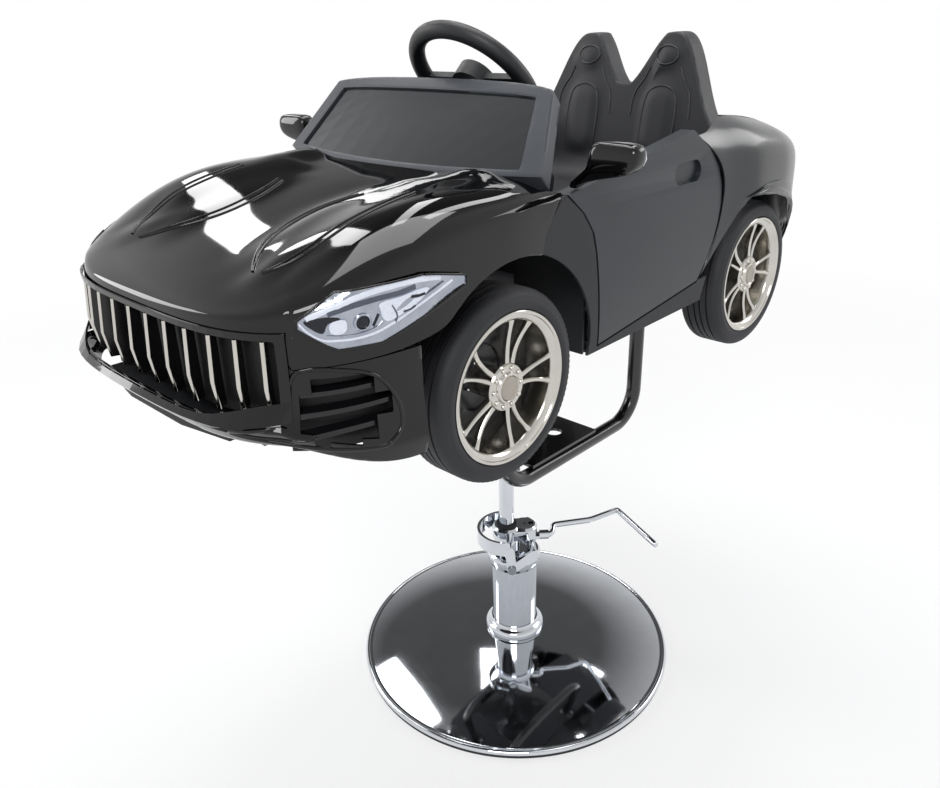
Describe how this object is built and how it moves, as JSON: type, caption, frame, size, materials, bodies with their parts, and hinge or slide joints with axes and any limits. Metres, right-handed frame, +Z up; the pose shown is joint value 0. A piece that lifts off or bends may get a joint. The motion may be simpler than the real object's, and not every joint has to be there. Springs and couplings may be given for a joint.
{
  "type": "children's barber chair",
  "caption": "Children's barber chair: a small sports car body with opening doors on a tube cradle, swivelling on a foot-pumped lift with a round chrome foot.",
  "frame": {"origin": "on the floor under the axis on which the chair lifts and swivels", "axes": "+Z up, the car faces -Y, the car's left side is +X"},
  "size_m": [0.6996, 1.2455, 1.1522],
  "materials": {
    "chrome_plate": "polished chrome plate on steel",
    "machined_steel": "ground bare steel",
    "base_steel": "dark painted steel plate",
    "rubber": "matte black rubber",
    "cradle_paint": "gloss black enamel",
    "body_gloss": "high-gloss black moulded plastic",
    "body_satin": "satin slate black moulded plastic",
    "tub_plastic": "matte black moulded plastic",
    "screen_frame": "satin dark grey moulded plastic",
    "screen_tint": "dark tinted acrylic sheet",
    "lamp_lens": "clear moulded lens over a bright reflector",
    "tail_lens": "dark red moulded lens",
    "bright_trim": "bright plated plastic slats",
    "seat_plastic": "matte black moulded seat shell",
    "interior": "matte black interior plastic",
    "grip": "matte black moulded grip",
    "tyre": "matte black ribbed tyre",
    "cap_plastic": "plain beige-grey cap",
    "axle_steel": "grey painted steel"
  },
  "bodies": {
    "base": {"base_cover": "chrome_plate", "base_plate": "base_steel", "floor_ring": "rubber", "collar_ring": "chrome_plate", "outer_tube": "chrome_plate", "inner_cylinder": "machined_steel", "pump_head": "chrome_plate", "rod_seal": "rubber", "pivot_pin": "machined_steel"},
    "pedal": {"pedal_yoke": "chrome_plate", "pedal_bar": "chrome_plate"},
    "pump_plunger": {"plunger": "machined_steel", "plunger_spring": "machined_steel"},
    "lift": {"lift_piston": "machined_steel"},
    "car": {"lift_rod": "chrome_plate", "swivel_socket": "cradle_paint", "cradle_plate": "cradle_paint", "cradle_tube_left": "cradle_paint", "cradle_tube_right": "cradle_paint", "cradle_bolts": "machined_steel", "chassis_tub": "tub_plastic", "front_clip": "body_gloss", "front_bumper": "body_gloss", "intake_louvres": "tub_plastic", "grille_frame": "body_gloss", "grille_slats": "bright_trim", "headlamp_left": "lamp_lens", "headlamp_right": "lamp_lens", "windscreen_frame": "screen_frame", "windscreen_pane": "screen_tint", "dashboard": "interior", "door_hinge_pins": "machined_steel", "rear_clip": "body_satin", "tail_lamps": "tail_lens", "seat": "seat_plastic", "front_axle": "axle_steel", "rear_axle": "axle_steel"},
    "steering": {"steering_column": "machined_steel", "steering_wheel": "grip"},
    "horn": {"horn_button": "interior"},
    "door_left_body": {"door_left": "body_satin", "mirror_left": "body_gloss"},
    "door_right_body": {"door_right": "body_satin", "mirror_right": "body_gloss"},
    "steer_left": {"knuckle_left": "axle_steel"},
    "steer_right": {"knuckle_right": "axle_steel"},
    "rack": {"tie_rod": "machined_steel"},
    "wheel_front_left": {"tyre_front_left": "tyre", "rim_front_left": "chrome_plate", "hub_cap_front_left": "cap_plastic"},
    "wheel_front_right": {"tyre_front_right": "tyre", "rim_front_right": "chrome_plate", "hub_cap_front_right": "cap_plastic"},
    "wheel_rear_left": {"tyre_rear_left": "tyre", "rim_rear_left": "chrome_plate", "hub_cap_rear_left": "cap_plastic"},
    "wheel_rear_right": {"tyre_rear_right": "tyre", "rim_rear_right": "chrome_plate", "hub_cap_rear_right": "cap_plastic"}
  },
  "joints": [
    {"name": "foot_pedal", "type": "hinge", "parent": "base", "child": "pedal", "pos_m": [0.00347, 0.0036, 0.214], "axis": [-0.7193, 0.6947, 0], "range_deg": [0, 18], "stiffness_Nm_per_rad": 60, "springref_deg": -14.32},
    {"name": "pump_stroke", "type": "slide", "parent": "base", "child": "pump_plunger", "axis": [0, 0, -1], "range_m": [0, 0.015], "stiffness_N_per_m": 1500, "springref_m": -0.005, "deforming": ["plunger_spring"]},
    {"name": "lift", "type": "slide", "parent": "base", "child": "lift", "axis": [0, 0, 1], "range_m": [0, 0.15]},
    {"name": "chair_swivel", "type": "hinge", "parent": "lift", "child": "car", "pos_m": [0, 0, 0.3], "axis": [0, 0, 1], "continuous": true},
    {"name": "steering", "type": "hinge", "parent": "car", "child": "steering", "pos_m": [0, -0.063, 1.07], "axis": [0, 0.7314, 0.682], "range_deg": [-60, 60]},
    {"name": "horn_press", "type": "slide", "parent": "steering", "child": "horn", "axis": [0, -0.7314, -0.682], "range_m": [0, 0.003], "stiffness_N_per_m": 400},
    {"name": "door_left_swing", "type": "hinge", "parent": "car", "child": "door_left_body", "pos_m": [0.2513, -0.08, 0.733], "axis": [0, 0.1676, -0.9859], "range_deg": [0, 45]},
    {"name": "door_right_swing", "type": "hinge", "parent": "car", "child": "door_right_body", "pos_m": [-0.2513, -0.08, 0.733], "axis": [0, -0.1676, 0.9859], "range_deg": [0, 45]},
    {"name": "rack_slide", "type": "slide", "parent": "car", "child": "rack", "axis": [1, 0, 0], "range_m": [-0.02183, 0.02183]},
    {"name": "knuckle_left_turn", "type": "hinge", "parent": "car", "child": "steer_left", "pos_m": [0.168, -0.2845, 0.731], "axis": [0, 0, 1], "range_deg": [-15.2, 15.2]},
    {"name": "knuckle_right_turn", "type": "hinge", "parent": "car", "child": "steer_right", "pos_m": [-0.168, -0.2845, 0.731], "axis": [0, 0, 1], "range_deg": [-15.2, 15.2]},
    {"name": "wheel_front_left_spin", "type": "hinge", "parent": "steer_left", "child": "wheel_front_left", "pos_m": [0.225, -0.2845, 0.731], "axis": [1, 0, 0], "continuous": true},
    {"name": "wheel_front_right_spin", "type": "hinge", "parent": "steer_right", "child": "wheel_front_right", "pos_m": [-0.225, -0.2845, 0.731], "axis": [1, 0, 0], "continuous": true},
    {"name": "wheel_rear_left_spin", "type": "hinge", "parent": "car", "child": "wheel_rear_left", "pos_m": [0.225, 0.3605, 0.731], "axis": [1, 0, 0], "continuous": true},
    {"name": "wheel_rear_right_spin", "type": "hinge", "parent": "car", "child": "wheel_rear_right", "pos_m": [-0.225, 0.3605, 0.731], "axis": [1, 0, 0], "continuous": true}
  ],
  "couplings": [
    {"joint": "pump_stroke", "follows": "foot_pedal", "m_per_rad": 0.0455},
    {"joint": "rack_slide", "follows": "steering", "m_per_rad": 0.020505},
    {"joint": "knuckle_left_turn", "follows": "steering", "ratio": 0.25},
    {"joint": "knuckle_right_turn", "follows": "steering", "ratio": 0.25}
  ]
}
